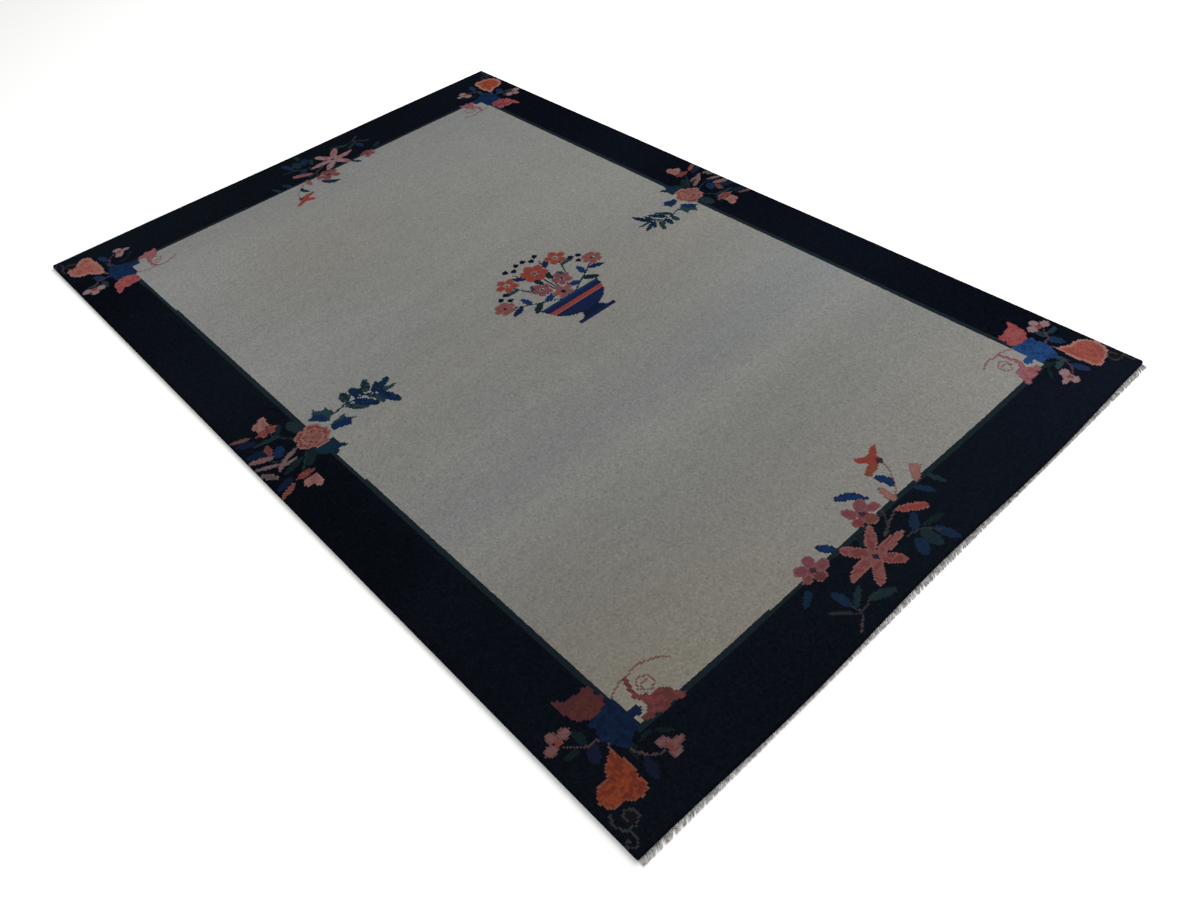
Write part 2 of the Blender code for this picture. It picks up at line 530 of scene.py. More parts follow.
def border_lily(spray, hand):
    """Six long petals about a small green eye."""
    lily, lily_edge, lily_shade = hand["lily"]
    for base, tip, width, bend, square in (
        ((-64, -56), (-97, -4), 26, 2, 2.4),
        ((-64, -56), (-8, -8), 24, 0, 1.9),
        ((-64, -63), (28, -65), 24, 0, 1.6),
        ((-64, -66), (-26, -66 - hand["petal reach"]), 26, 0, 2.5),
        ((-64, -66), (-113, -66 - hand["petal reach"]), 25, 0, 2.2),
        ((-64, -62), (-146, -70), 25, -5, 1.7),
    ):
        petal = spray.blade(base, tip, width, bend, belly=0.9, square=square)
        spray.knot(petal, lily, lily_edge, mixed=lily_shade)
    spray.knot(spray.round((-64, -64), 15), lily)
    spray.knot(spray.patch([(-73, -64), (-64, -56), (-55, -64), (-64, -72)]), "slate green")


def rose_blossoms(spray, side_share):
    """The side and the middle blossom, of five petals each."""
    side_petals = (
        ((-18, 14), 16.0, 0.80, -20, "blossom"),
        ((9, 19), 16.0, 0.80, 50, "blossom"),
        ((23, -4), 15.5, 0.76, 10, "blossom"),
        ((-1, -18), 15.5, 0.80, 0, "deep rose"),
        ((-24, -6), 13.5, 0.74, 10, "tan"),
    )
    middle_petals = (
        ((-18, 18), 17.5, 0.72, 115, "blossom"),
        ((15, 18), 17.5, 0.78, 25, "blossom"),
        ((29, -3), 16.5, 0.70, -10, "blossom"),
        ((3, -20), 15.0, 0.86, 0, "tan"),
        ((-24, -8), 15.5, 0.72, -10, "rose"),
    )
    for eye, share, petals in (
        ((-170, 1), side_share, side_petals),
        ((5, 18), 1.0, middle_petals),
    ):
        spray.knot(spray.round(eye, 15 * share), "rose")
        for (u, v), radius, flat, turn, wool in petals:
            middle = (eye[0] + u * share, eye[1] + v * share)
            petal = spray.round(middle, radius * share, flat, turn)
            spray.knot(petal, wool, "blossom pale", outline=2.2)
        spray.knot(spray.round(eye, 6.5 * share), "calyx plum")


def trumpet_flower(spray, out):
    """Three pointed petals and an open throat, that hang as far out as the function says."""
    spray.knot(spray.blade(out(146, 89), out(93, 73), 20, belly=0.85, square=2.4), "burnt brick")
    spray.knot(spray.blade(out(143, 92), out(111, 120), 19, belly=0.8, square=2.4), "brick")
    spray.knot(spray.blade(out(136, 94), out(180, 120), 17, belly=0.7), "brick", "burnt brick")
    throat = [out(126, 84), out(126, 100), out(140, 112), out(156, 104), out(158, 92), out(148, 84)]
    spray.knot(spray.patch(throat), "brick")
    spray.knot(spray.round(out(147, 83), 7.5), "calyx plum")


def end_spray(at, toward, size, hand):
    """A lily on the border between two rose blossoms, with a trumpet flower, buds and leaves.

    The two ends were drawn by two hands: how far the lily's outer petals reach, how far out
    the trumpet flower hangs and the leaves lie, the buds, and how large the side blossom is.
    """
    spray = Spray(at, toward, size)

    def out(u, v):
        return (u + hand["trumpet out"], v + hand["trumpet out"] / 2)

    end_leaves(spray, hand)
    hanging = [(92, 2), (105, 12), (118, 25), out(130, 40), out(142, 58), out(146, 74)]
    spray.stem(hanging, "tendril rose", 3.8)

    leaf_wool, leaf_edge, large, small = hand["field leaves"]
    for leaf in (
        spray.blade((-101, 0), (-125, 32), small, belly=1.1),
        spray.blade((47, 32), (-4, 83), large, bend=-8, belly=1.3),
        spray.blade(out(111, 19), out(101, 62), small - 1, bend=-5, square=2.6),
    ):
        spray.knot(leaf, leaf_wool, leaf_edge)

    border_lily(spray, hand)
    rose_blossoms(spray, hand["side blossom"])
    trumpet_flower(spray, out)

    bud_wool, bud_edge = hand["small bud"]
    spray.knot(spray.blade((80, -9), (83, 37), 20, belly=0.85), bud_wool, bud_edge, outline=2.4)
    open_bud = [(147, -6), (154, 8), (166, 20), (178, 35), (188, 30), (197, 14), (180, 6), (164, -6)]
    if hand["open bud"]:
        spray.knot(spray.patch(open_bud), bud_wool, bud_edge, outline=2.4)
    base, tip, wool, edge = hand["long bud"]
    spray.knot(spray.blade(base, tip, 21, belly=1.4, square=2.6), wool, edge)


end_spray((0.0, -1.0475), (1, 1), 1.0, NEAR_END)
end_spray((0.0290, 1.0235), (-1, -1), 0.89, FAR_END)


def border_petals(spray, petals_in):
    """The leaves, stems and loose petals that fill the border behind the peony."""
    spray.leaves((
        ((-112, 84), (-152, 102), 20, "deep slate"),
        ((-60, 62), (-126, 74), 13, "slate green"),
        ((-100, 34), (-156, 52), 24, "deep slate"),
        ((-100, 0), (-78, 32), 25, "leaf blue"),
        ((-30, -30), (-64, -74), 26, "moss shade"),
        ((-60, -38), (-118, -58), 16, "moss shade"),
        ((-108, -78), (-154, -92), 20, "deep slate"),
        ((-18, 38), (-26, 90), 30, "slate green"),
        ((-66, 66), (-42, 100), 14, "moss shade"),
    ))
    spray.stem([(-46, 4), (-74, -8), (-104, -10), (-120, 8), (-126, 34)], "slate green")
    spray.stem([(-44, 30), (-64, 56), (-76, 84)], "slate green")
    spray.stem([(-44, -28), (-64, -54), (-82, -80)], "slate green")

    for base, tip, width, wool, edge in (
        ((-106, 10), (-158, 32), 18, "shell", "petal grey"),
        ((-108, -20), (-160, 4), 13, "petal grey", "petal shade"),
        ((-132, -58), (-156, -18), 17, "petal shade", "petal grey"),
        ((-54, -2 + petals_in), (-102, -20 + petals_in), 14, "petal grey", "shell shade"),
        ((-66, -28 + petals_in), (-108, -34 + petals_in), 11, "petal grey", "petal shade"),
        ((-86, -12 + petals_in), (-122, -42 + petals_in), 13, "petal grey", "shell"),
        ((-108, 20), (-100, 56), 17, "deep rose", "shell shade"),
        ((-114, 105), (-158, 124), 13, "petal shade", "deep rose"),
        ((-112, -96), (-158, -118), 15, "tan", "burnt brick"),
    ):
        spray.knot(spray.blade(base, tip, width, belly=0.9, square=1.8), wool, edge, outline=2.2)


def tulips(spray, tulips_in):
    """An upper and a lower tulip, each on a calyx like a star."""
    upper_in, lower_in = tulips_in

    def shifted(shift, points):
        return [(u, v + shift) for u, v in points]

    upper_tulip = np.maximum.reduce([
        spray.round((-77, 126 + upper_in), 18, flat=0.92),
        spray.round((-66, 138 + upper_in), 14, flat=0.7, turn=50),
        spray.patch(shifted(upper_in, [(-90, 108), (-92, 126), (-60, 132), (-60, 112)])),
    ])
    spray.knot(upper_tulip, "tulip shade", "tulip", mixed="tulip", outline=2.6)
    spray.stem(shifted(upper_in, [(-95, 104), (-76, 106), (-57, 111)]), "deep rose")
    upper_star = spray.patch(shifted(upper_in, [
        (-106, 100), (-90, 103), (-62, 107), (-46, 99), (-57, 92), (-60, 83), (-74, 87), (-90, 83),
        (-93, 92),
    ]))
    spray.knot(upper_star, "rose", "coral", mixed="deep rose", outline=2.6)

    lower_tulip = np.maximum.reduce([
        spray.round((-84, -117 + lower_in), 19, flat=0.72, turn=15),
        spray.round((-73, -130 + lower_in), 15, flat=0.75, turn=70),
        spray.patch(shifted(lower_in, [(-90, -104), (-62, -103), (-64, -124), (-86, -126)])),
    ])
    spray.knot(lower_tulip, "tulip shade", "tulip", mixed="tulip", outline=2.6)
    spray.stem(shifted(lower_in, [(-92, -99), (-76, -100)]), "deep rose")
    lower_star = spray.patch(shifted(lower_in, [
        (-109, -92), (-98, -84), (-92, -78), (-84, -83), (-72, -78), (-66, -86), (-57, -93), (-72, -97),
        (-92, -97),
    ]))
    spray.knot(lower_star, "deep rose", "rose", mixed="brick", outline=2.6)


def field_sprig(at, toward, size, sprig_size, leaflet_girth):
    """A stalk of pointed leaflets, each of two mixed wools."""
    root = (at[0] + toward[0] * 0.066 * size, at[1] + toward[1] * 0.032 * size)
    sprig = Spray(root, toward, size * sprig_size)
    for base, tip, width, wool, mixed in (
        ((44, 10), (50, 50), 25, "moss", "teal"),
        ((72, 8), (76, 50), 25, "leaf blue", "teal"),
        ((80, 8), (100, 34), 14, "teal", "leaf blue"),
        ((94, 6), (116, 52), 22, "moss", "teal"),
        ((104, -6), (132, 22), 15, "teal", "leaf blue"),
        ((106, -8), (164, 15), 21, "leaf blue", "teal"),
        ((112, -16), (162, -20), 14, "moss", "teal"),
        ((34, 6), (70, -42), 20, "teal", "moss"),
        ((58, 4), (95, -50), 24, "leaf blue", "sprig indigo"),
        ((88, 0), (108, -32), 13, "teal", "moss"),
        ((102, -8), (106, -56), 18, "teal", "moss"),
        ((114, -14), (136, -80), 25, "sprig indigo", "leaf blue"),
    ):
        leaflet = sprig.blade(base, tip, width * leaflet_girth, belly=0.9, square=1.9)
        sprig.knot(leaflet, wool, mixed=mixed)
    stalk = [(0, 0), (14, 3), (34, 8), (54, 6), (74, 7), (92, 0), (108, -7), (124, -18)]
    sprig.stem(stalk, "sprig indigo", 4.6)


def lobed_leaves(spray, leaf_size):
    """Three lobed leaves between the peony and the sprig, the upper two half blue, half moss."""
    upper_leaf = spray.patch([
        (8, 57), (24, 60), (31, 74), (37, 83), (43, 70), (52, 63), (64, 68), (66, 50), (70, 34),
        (58, 30), (46, 19), (34, 24), (24, 40),
    ])
    spray.knot(upper_leaf, "moss")
    blue_half = spray.patch([(4, 58), (30, 62), (46, 50), (50, 20), (20, 20)])
    spray.knot(np.minimum(upper_leaf, blue_half), "leaf blue")
    outline = [
        (34, -16), (40, 6), (60, 11), (84, 16), (80, -2), (103, -20), (86, -15), (76, -30), (58, -22),
    ]
    right_leaf = spray.patch([
        (34 + (u - 34) * leaf_size, -20 + (v + 20) * leaf_size) for u, v in outline
    ])
    spray.knot(right_leaf, "leaf blue")
    spray.knot(np.minimum(right_leaf, spray.v - 0.05 * spray.u + 2), "moss")
    lower_leaf = spray.patch([
        (-28, -36), (24, -34), (21, -56), (37, -80), (12, -76), (3, -92), (-8, -76), (-30, -60),
    ])
    spray.knot(lower_leaf, "teal blue", "teal", mixed="rock blue")


def peony_head(spray):
    """A scalloped ring of outer petals, creases between them, and a heart of curled petals."""
    middle = (-9, 2)
    peony = spray.round(middle, 35)
    for i in range(10):
        angle = 2 * math.pi * (i + 0.3 * (i % 2)) / 10
        peony = np.maximum(peony, spray.round(about(middle, angle, 32, 31), 10 + 1.5 * (i % 3)))
    spray.knot(peony, "rose", "tulip", mixed="peony", outline=4.4)
    for i in range(10):
        angle = 2 * math.pi * (i + 0.6) / 10
        spray.knot(spray.round(about(middle, angle, 28, 27), 4.6 - (i % 2)), "peony shade")
    spray.knot(spray.round(middle, 21, flat=0.94), "peony rim", "peony", mixed="peony")
    heart = spray.patch([(-6, 16), (6, 10), (9, -14), (4, -32), (-6, -30), (-2, -8)])
    spray.knot(heart, "peony tan", mixed="peony")
    for i in range(8):
        turn = 2 * math.pi * (i + 0.25) / 8
        arc = [(turn - 0.30, 23), (turn, 27), (turn + 0.30, 23)]
        spray.stem([about(middle, angle, radius) for angle, radius in arc], "tulip", 4.4)
    for u, v in ((-20, 12), (-22, -8), (-14, -20), (-4, 18)):
        spray.knot(spray.round((u, v), 3.4), "deep rose")
    spray.knot(spray.round((-10, -3), 4.4), "peony shade")


def side_spray(at, toward, size, tulips_in, petals_in, leaf_size, sprig_size, leaflet_girth):
    """A peony on the field's edge, tulips and leaves in the border, and a sprig in the field.

    The two tulips and the inner petals are shifted along the side, and the right leaf and the
    sprig are smaller, on the side that has them so.
    """
    spray = Spray(at, toward, size)
    border_petals(spray, petals_in)
    tulips(spray, tulips_in)
    field_sprig(at, toward, size, sprig_size, leaflet_girth)
    lobed_leaves(spray, leaf_size)
    peony_head(spray)


side_spray(
    (-0.6300, 0.0), (1, 1), 1.0,
    tulips_in=(0, 0), petals_in=0, leaf_size=1.0, sprig_size=1.0, leaflet_girth=1.0,
)
side_spray(
    (0.6410, 0.0580), (-1, -1), 0.95,
    tulips_in=(-13, -8), petals_in=-20, leaf_size=0.86, sprig_size=0.90, leaflet_girth=0.80,
)


def bowl_of_flowers(at):
    """The middle of the field: a footed bowl with an even bouquet, the same on both sides."""
    spray = Spray(at, (1, 1))
    for side in (-1, 1):
        spray.stem([(0, -70), (side * 20, -20), (side * 60, 40), (side * 84, 96)], "teal")
        spray.stem([(0, -70), (side * 30, -40), (side * 90, -6), (side * 138, 24)], "teal")
        spray.stem([(0, -70), (side * 10, 20), (side * 34, 90), (side * 44, 130)], "teal")
        for base, tip, width, wool in (
            ((26, -14), (62, -22), 20, "blue"),
            ((50, 16), (44, 58), 18, "moss"),
            ((70, -14), (108, -44), 20, "teal"),
            ((92, -4), (96, 34), 18, "blue"),
            ((112, 8), (156, -10), 17, "indigo"),
            ((16, 40), (24, 84), 16, "teal"),
            ((34, 92), (66, 126), 16, "indigo"),
            ((74, 72), (120, 76), 17, "moss"),
        ):
            mirrored = [(side * u, v) for u, v in (base, tip)]
            spray.leaves([(*mirrored, width, wool)])
        spray.blossom((side * 84, 108), 31, "brick", "coral pale", "tan", turn=90 - side * 12)
        spray.blossom((side * 150, 34), 28, "coral", "coral pale", "indigo", petals=6, turn=0)
        for u, v, radius in (
            (30, 146, 8.5), (50, 156, 8.5), (12, 160, 8.5), (118, 52, 8), (134, 70, 8), (112, 78, 8)
        ):
            spray.knot(spray.round((side * u, v), radius), "navy", "deep indigo", outline=2.2)
    spray.stem([(0, -70), (0, 40), (0, 120)], "teal", 5)
    spray.blossom((0, 96), 38, "brick", "coral", "tan", petals=6)
    for side in (-1, 1):
        spray.blossom((side * 34, 24), 28, "blossom", "blossom pale", "stem grey")
    spray.blossom((0, -22), 30, "coral", "coral pale", "indigo")

    bowl = np.where(spray.v < -50, spray.round((0, -50), 92, flat=0.86), -1)
    spray.knot(bowl, "indigo", "deep indigo")
    spray.knot(np.minimum(bowl, 9 - np.abs(spray.v + 76)), "brick", "coral pale", outline=2.6)
    spray.knot(np.minimum(96 - np.abs(spray.u), 6 - np.abs(spray.v + 48)), "blue", "indigo", outline=2.2)
    foot = np.minimum(26 + (-126 - spray.v) * 0.7 - np.abs(spray.u), 13 - np.abs(spray.v + 138))
    spray.knot(foot, "deep indigo")
    spray.knot(np.minimum(60 - np.abs(spray.u), 5.5 - np.abs(spray.v + 152)), "indigo")


bowl_of_flowers((0.105, 0.005))

# The clipped surface of the pile, in bands along the rug.
# The wool tufts are shorn level by hand. Every knot is a facet of its own, as a shorn tuft is,
# and no two are quite level. A rounding facet and a skirt lie past the knots at each edge.
BANDS = 4
EDGE_FACETS = 2
RIM_ROUND = 0.0040
RIM_STEP = 0.0012
TUFT_LEVEL = 0.00022
TUFT_DRIFT = 0.00055
RIM_DRIFT = 0.35
SIDE_FOOT = 0.0036
END_FOOT = 0.0024
SWELL_HEIGHT = 0.0006
SWELLS = (
    {"across": 0.93, "along": 1.37, "share": 0.6, "phase": 0.0},
    {"across": -1.90, "along": 0.71, "share": 0.4, "phase": 0.8},
)

# The patterns of the wool's finish. Single cut fibres are too fine to show, so they are drawn in
# bunches, and the relief is that of the tufts, which crowd together under the shears.
FIBRE_BUNCH = 0.00111
TUFT_SPAN = 0.00238
TUFT_RELIEF = 0.0012

# Dust dulls every wool to this share of its fresh colour, and each knot differs by chance.
DUST = 0.88
KNOT_CHANCE = 0.075
# The field's wool was dyed in lots. At each y from the near end to the far one: how much
# lighter the lot is than the mean, and how much warmer.
DYE_LOTS = (
    (-1.04, 0.03, 0.030),
    (-0.93, 0.01, 0.030),
    (-0.80, -0.035, 0.005),
    (-0.68, -0.045, -0.005),
    (-0.56, 0.055, -0.005),
    (-0.45, -0.02, -0.035),
    (-0.30, 0.01, -0.005),
    (-0.18, -0.02, 0.000),
    (-0.07, 0.02, 0.020),
    (0.05, -0.03, 0.000),
    (0.28, 0.03, -0.005),
    (0.45, -0.01, -0.005),
    (0.62, 0.00, 0.010),
    (0.86, 0.02, 0.000),
    (1.00, -0.04, -0.015),
)
# Soft patches of painted light and shade across the field, lighter or darker and warmer or cooler: the
# place, how far each reaches, how much lighter and how much warmer.
PAINTED_LIGHT_PATCHES = (
    (-0.62, -1.05, 0.42, -0.10, 0.08),
    (0.62, -1.05, 0.36, 0.13, -0.01),
    (0.62, -0.45, 0.22, 0.07, -0.01),
    (-0.64, 0.85, 0.30, 0.16, -0.02),
    (-0.60, 0.30, 0.25, 0.09, 0.00),
    (0.62, 1.05, 0.35, -0.08, -0.01),
    (-0.25, 0.66, 0.20, -0.03, 0.04),
    (0.05, -0.15, 0.50, -0.055, 0.01),
)
# The slow unevenness of the wool: how far each swing of it goes either way, its seed, and its
# cells across and along the rug.
LOT_EDGES = (0.025, 35, 6, 14)
LIGHTER = ((0.014, 31, 3, 60), (0.016, 33, 14, 20), (0.020, 34, 40, 260), (0.012, 32, 5, 190))
FIELD_WARMER = (0.012, 36, 6, 9)
BORDER_WARMER = (0.020, 37, 6, 60)
NAVY_LIGHTER = (0.220, 38, 4, 9)
NAVY_CHANCE = 0.10
NAVY_LEAST, NAVY_MOST = 0.4, 1.8
# A warmer wool has more red and less blue. The navy is bluer towards the right, and darker on
# the long sides, from SIDE_FROM out and up to SIDE_END along, with a soft edge to each.
MORE_RED, LESS_BLUE = 0.8, 1.2
RIGHT_BLUER = 0.25
SIDE_DARKER = 0.24
SIDE_FROM, SIDE_FADE = 0.55, 0.12
SIDE_END, SIDE_END_FADE = 1.15, 0.15


def to_linear(hex_colour):
    """Linear red, green and blue of an sRGB hex colour."""
    channels = [int(hex_colour[i : i + 2], 16) / 255 for i in (1, 3, 5)]
    return [c / 12.92 if c <= 0.04045 else ((c + 0.055) / 1.055) ** 2.4 for c in channels]


def end_bow(x, end):
    """How far a short end stands out from its mean line, at x across the rug."""
    return -END_BOW[end] * np.cos(2 * math.pi * BOWS * x / PILE_WIDTH)


def bowed(x, y):
    """The y of a point once the short end that it is near has bowed."""
    fade = (np.abs(y) / (PILE_LENGTH / 2)) ** BOW_FADE
    return y + fade * np.where(y > 0, end_bow(x, FAR), -end_bow(x, NEAR))


def swell(x, y):
    return SWELL_HEIGHT * sum(
        wave["share"] * np.sin(2 * math.pi * (x / wave["across"] + y / wave["along"]) + wave["phase"])
        for wave in SWELLS
    )


def rim_lines(size, knots):
    """Where the lines between knots lie, with a skirt and a rounding line at each edge."""
    inner = (np.arange(1, knots) / knots - 0.5) * size
    half = size / 2
    return np.concatenate([
        [-half, -half, -half + RIM_STEP], inner, [half - RIM_STEP, half, half],
    ])


def rug_grid():
    """The corner points of every facet of the pile, skirts included."""
    draw = np.random.default_rng(11)
    x, y = np.meshgrid(rim_lines(PILE_WIDTH, COLUMNS), rim_lines(PILE_LENGTH, ROWS))
    in_x = PILE_WIDTH / 2 - np.abs(x)
    in_y = PILE_LENGTH / 2 - np.abs(y)
    over_x, over_y = np.maximum(RIM_ROUND - in_x, 0), np.maximum(RIM_ROUND - in_y, 0)
    over = np.hypot(over_x, over_y)
    back = np.where(over > RIM_ROUND, 1 - RIM_ROUND / np.maximum(over, 1e-9), 0)
    z = PILE_HEIGHT + swell(x, y) + draw.uniform(-TUFT_LEVEL, TUFT_LEVEL, x.shape)
    z -= RIM_ROUND - np.sqrt(RIM_ROUND**2 - np.minimum(over, RIM_ROUND) ** 2)
    drift = np.where(over > 0, RIM_DRIFT, 1.0) * TUFT_DRIFT
    shift_x = draw.uniform(-1, 1, x.shape) * drift
    shift_y = draw.uniform(-1, 1, x.shape) * drift
    px = x - np.sign(x) * over_x * back + shift_x
    py = bowed(x, y) - np.sign(y) * over_y * back + shift_y
    z[:, (0, -1)] = SIDE_FOOT
    z[(0, -1), :] = END_FOOT
    return np.stack([px, py, z], axis=2)


def unevenness(most, seed, cells_across, cells_along):
    return most * smooth_noise(seed, cells_across, cells_along)


def dyed_knots():
    """The linear colour of each knot, with its dye lot, its patches of painted light and shade and its own
    small chance.
    """
    draw = np.random.default_rng(23)
    dyes = np.array([to_linear(WOOLS[name]) for name in WOOL_NAMES]) * DUST
    lot_y, lot_tone, lot_warmth = zip(*DYE_LOTS)
    wavy_y = KNOT_Y[:, None] + unevenness(*LOT_EDGES)
    tone = 1 + np.interp(wavy_y, lot_y, lot_tone) + sum(unevenness(*row) for row in LIGHTER)
    warmth = np.interp(wavy_y, lot_y, lot_warmth) + unevenness(*FIELD_WARMER)
    # Painted light and shade: each patch makes the knots round it lighter or darker, and warmer or cooler.
    for x, y, reach, lighter, warmer in PAINTED_LIGHT_PATCHES:
        share = np.exp(-((knot_x - x) ** 2 + (knot_y - y) ** 2) / reach**2)
        tone = tone + lighter * share
        warmth = warmth + warmer * share
    chance = 1 + draw.normal(0, KNOT_CHANCE, chart.shape)
    tint = np.where(chart == wool_number("oatmeal"), warmth, unevenness(*BORDER_WARMER))
    colour = dyes[chart] * (tone * chance)[:, :, None]
    colour[:, :, 0] *= 1 + MORE_RED * tint
    colour[:, :, 2] *= 1 - LESS_BLUE * tint

    navy = chart == wool_number("navy")
    depth = 1 + unevenness(*NAVY_LIGHTER) + draw.normal(0, NAVY_CHANCE, chart.shape)
    out_at_side = np.clip((np.abs(knot_x) - SIDE_FROM) / SIDE_FADE, 0, 1)
    before_end = np.clip((SIDE_END - np.abs(knot_y)) / SIDE_END_FADE, 0, 1)
    depth = np.clip(depth - SIDE_DARKER * out_at_side * before_end, NAVY_LEAST, NAVY_MOST)
    colour[navy] *= depth[navy][:, None]
    colour[:, :, 2] *= np.where(navy, 1 + RIGHT_BLUER * np.maximum(knot_x, 0) / PILE_WIDTH, 1)
    return np.concatenate([colour, np.ones(chart.shape + (1,))], axis=2)


def quilt(name, points, colours, domain="FACE"):
    """A mesh of one facet for each cell of a grid of points, with a wool colour on each."""
    rows, cols, _ = points.shape
    number = np.arange(rows * cols).reshape(rows, cols)
    around = (number[:-1, :-1], number[:-1, 1:], number[1:, 1:], number[1:, :-1])
    quads = np.stack(around, axis=2).reshape(-1, 4)
    corners = points.reshape(-1, 3)[quads]
    spans = np.cross(corners[:, 2] - corners[:, 0], corners[:, 3] - corners[:, 1])
    real = np.linalg.norm(spans, axis=1) > 1e-9
    mesh = bpy.data.meshes.new(name)
    mesh.from_pydata(points.reshape(-1, 3), [], quads[real])
    wool = mesh.attributes.new("wool", "FLOAT_COLOR", domain)
    kept = colours.reshape(-1, 4)[real] if domain == "FACE" else colours.reshape(-1, 4)
    wool.data.foreach_set("color", kept.astype(np.float32).ravel())
    return mesh


def placed(name, data):
    """A new object for a mesh, lamp or camera, linked to the scene."""
    piece = bpy.data.objects.new(name, data)
    bpy.context.collection.objects.link(piece)
    return piece


def add_node(tree, kind, feeds=None, **settings):
    """Adds a node with its settings. Each feed is a value, or the socket it is linked from."""
    node = tree.nodes.new(kind)
    for setting, value in settings.items():
        setattr(node, setting, value)
    for socket, feed in (feeds or {}).items():
        if isinstance(feed, bpy.types.NodeSocket):
            tree.links.new(feed, node.inputs[socket])
        else:
            node.inputs[socket].default_value = feed
    return node


def new_finish(name, roughness):
    """A material whose even values are set on the shader's own sockets."""
    finish = bpy.data.materials.new(name)
    finish.use_nodes = True
    shader = finish.node_tree.nodes["Principled BSDF"]
    shader.inputs["Roughness"].default_value = roughness
    shader.inputs["Specular IOR Level"].default_value = 0.0
    return finish, finish.node_tree, shader


def clipped_wool():
    """Hand-clipped wool pile: cut fibre ends, matt, lighter and darker from tuft to tuft."""
    finish, tree, shader = new_finish("clipped wool pile", 1.0)
    wool = add_node(tree, "ShaderNodeAttribute", attribute_name="wool")
    place = add_node(tree, "ShaderNodeTexCoord").outputs["Object"]
    fibres = add_node(tree, "ShaderNodeTexNoise", {"Vector": place, "Scale": 1 / FIBRE_BUNCH, "Detail": 2.0})
    shade = add_node(tree, "ShaderNodeMapRange", {
        "Value": fibres.outputs["Fac"], "From Min": 0.3, "From Max": 0.7, "To Min": 0.80, "To Max": 1.20,
    })
    dyed = add_node(tree, "ShaderNodeVectorMath", {
        0: wool.outputs["Color"], "Scale": shade.outputs["Result"],
    }, operation="SCALE")
    tree.links.new(dyed.outputs["Vector"], shader.inputs["Base Color"])
    tufts = add_node(tree, "ShaderNodeTexVoronoi", {
        "Vector": place, "Scale": 1 / TUFT_SPAN, "Randomness": 0.9,
    })
    relief = add_node(tree, "ShaderNodeMath", {
        0: tufts.outputs["Distance"], 1: fibres.outputs["Fac"],
    }, operation="ADD")
    bump = add_node(tree, "ShaderNodeBump", {
        "Height": relief.outputs["Value"], "Strength": 0.35, "Distance": TUFT_RELIEF,
    })
    tree.links.new(bump.outputs["Normal"], shader.inputs["Normal"])
    return finish


PILE_WOOL = clipped_wool()
GRID = rug_grid()
KNOT_COLOURS = dyed_knots()
edged_rows = np.clip(np.arange(-EDGE_FACETS, ROWS + EDGE_FACETS), 0, ROWS - 1)
edged_columns = np.clip(np.arange(-EDGE_FACETS, COLUMNS + EDGE_FACETS), 0, COLUMNS - 1)
facet_colours = KNOT_COLOURS[edged_rows][:, edged_columns]
band_edges = np.linspace(0, len(edged_rows), BANDS + 1).astype(int)
for band, (first, last) in enumerate(zip(band_edges, band_edges[1:])):
    mesh = quilt(f"pile_band_{band + 1}", GRID[first : last + 1], facet_colours[first:last])
    mesh.materials.append(PILE_WOOL)
    piece = placed(mesh.name, mesh)
    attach(piece, "root")

# The woven back.
# Cotton warps and wefts hold the knots, whose loops show the design on the underside. The
# piece is the cloth of the rug, and everything else is knotted or wrapped on it.
BACK_CELL = 0.0063
BACK_HEIGHT = 0.0034
BACK_INSET = 0.0010
WEFT_GREY = "#55534f"
WEFT_SHARE = 0.22
# The pattern's wave turns by 20 radians a metre at a scale of 1, and by half a turn a knot here.
WAVE_TURN = 20
LOOP_TURN = 3.14
LOOP_RELIEF = 0.0006


def woven_back():
    cols, rows = round(PILE_WIDTH / BACK_CELL), round(PILE_LENGTH / BACK_CELL)
    xs = np.linspace(0.5, -0.5, cols + 1) * (PILE_WIDTH - 2 * BACK_INSET)
    ys = np.linspace(-0.5, 0.5, rows + 1) * (PILE_LENGTH - 2 * BACK_INSET)
    x, y = np.meshgrid(xs, ys)
    points = np.stack([x, bowed(x, y), 0 * x], axis=2)
    col = np.clip(((x / PILE_WIDTH + 0.5) * COLUMNS).astype(int), 0, COLUMNS - 1)
    row = np.clip(((y / PILE_LENGTH + 0.5) * ROWS).astype(int), 0, ROWS - 1)
    # The loops take the knots' colours, the patches of painted light and shade included.
    loops = KNOT_COLOURS[row, col]
    weft = np.array(to_linear(WEFT_GREY) + [1.0])
    mesh = quilt("woven_back", points, (1 - WEFT_SHARE) * loops + WEFT_SHARE * weft, domain="POINT")

    bm = bmesh.new()
    bm.from_mesh(mesh)
    rim = [edge for edge in bm.edges if edge.is_boundary]
    drawn = bmesh.ops.extrude_edge_only(bm, edges=rim)["geom"]
    for vertex in (item for item in drawn if isinstance(item, bmesh.types.BMVert)):
        vertex.co.z = BACK_HEIGHT
    bmesh.ops.contextual_create(bm, geom=[edge for edge in bm.edges if edge.is_boundary])
    bmesh.ops.recalc_face_normals(bm, faces=bm.faces)
    bm.to_mesh(mesh)
    bm.free()
    return mesh


